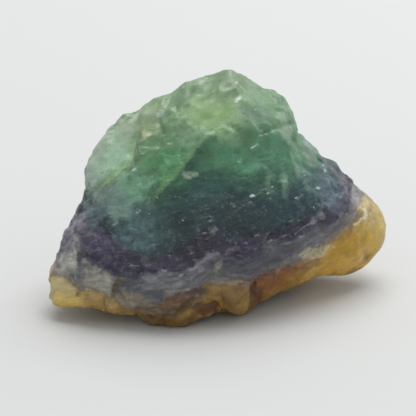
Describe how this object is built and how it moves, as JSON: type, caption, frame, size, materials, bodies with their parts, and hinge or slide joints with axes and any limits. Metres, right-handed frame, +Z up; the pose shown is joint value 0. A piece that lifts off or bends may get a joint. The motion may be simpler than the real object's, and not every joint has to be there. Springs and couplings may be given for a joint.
{
  "type": "rough banded fluorite specimen",
  "caption": "Rough broken lump of banded rainbow fluorite, green at its peak, purple and grey lower down and amber at its base; a display stone that stands on its own low points.",
  "frame": {"origin": "on the surface the stone rests on, under the middle of its bounding box", "axes": "+X to the right along the broad front face, +Y towards the back, +Z up"},
  "size_m": [0.0684, 0.0438, 0.0468],
  "materials": {
    "banded_fluorite": "translucent natural fluorite with broken, frosty faces, banded from pale green through teal, purple and grey to amber"
  },
  "bodies": {
    "root": {"fluorite_lump": "banded_fluorite"}
  },
  "joints": []
}
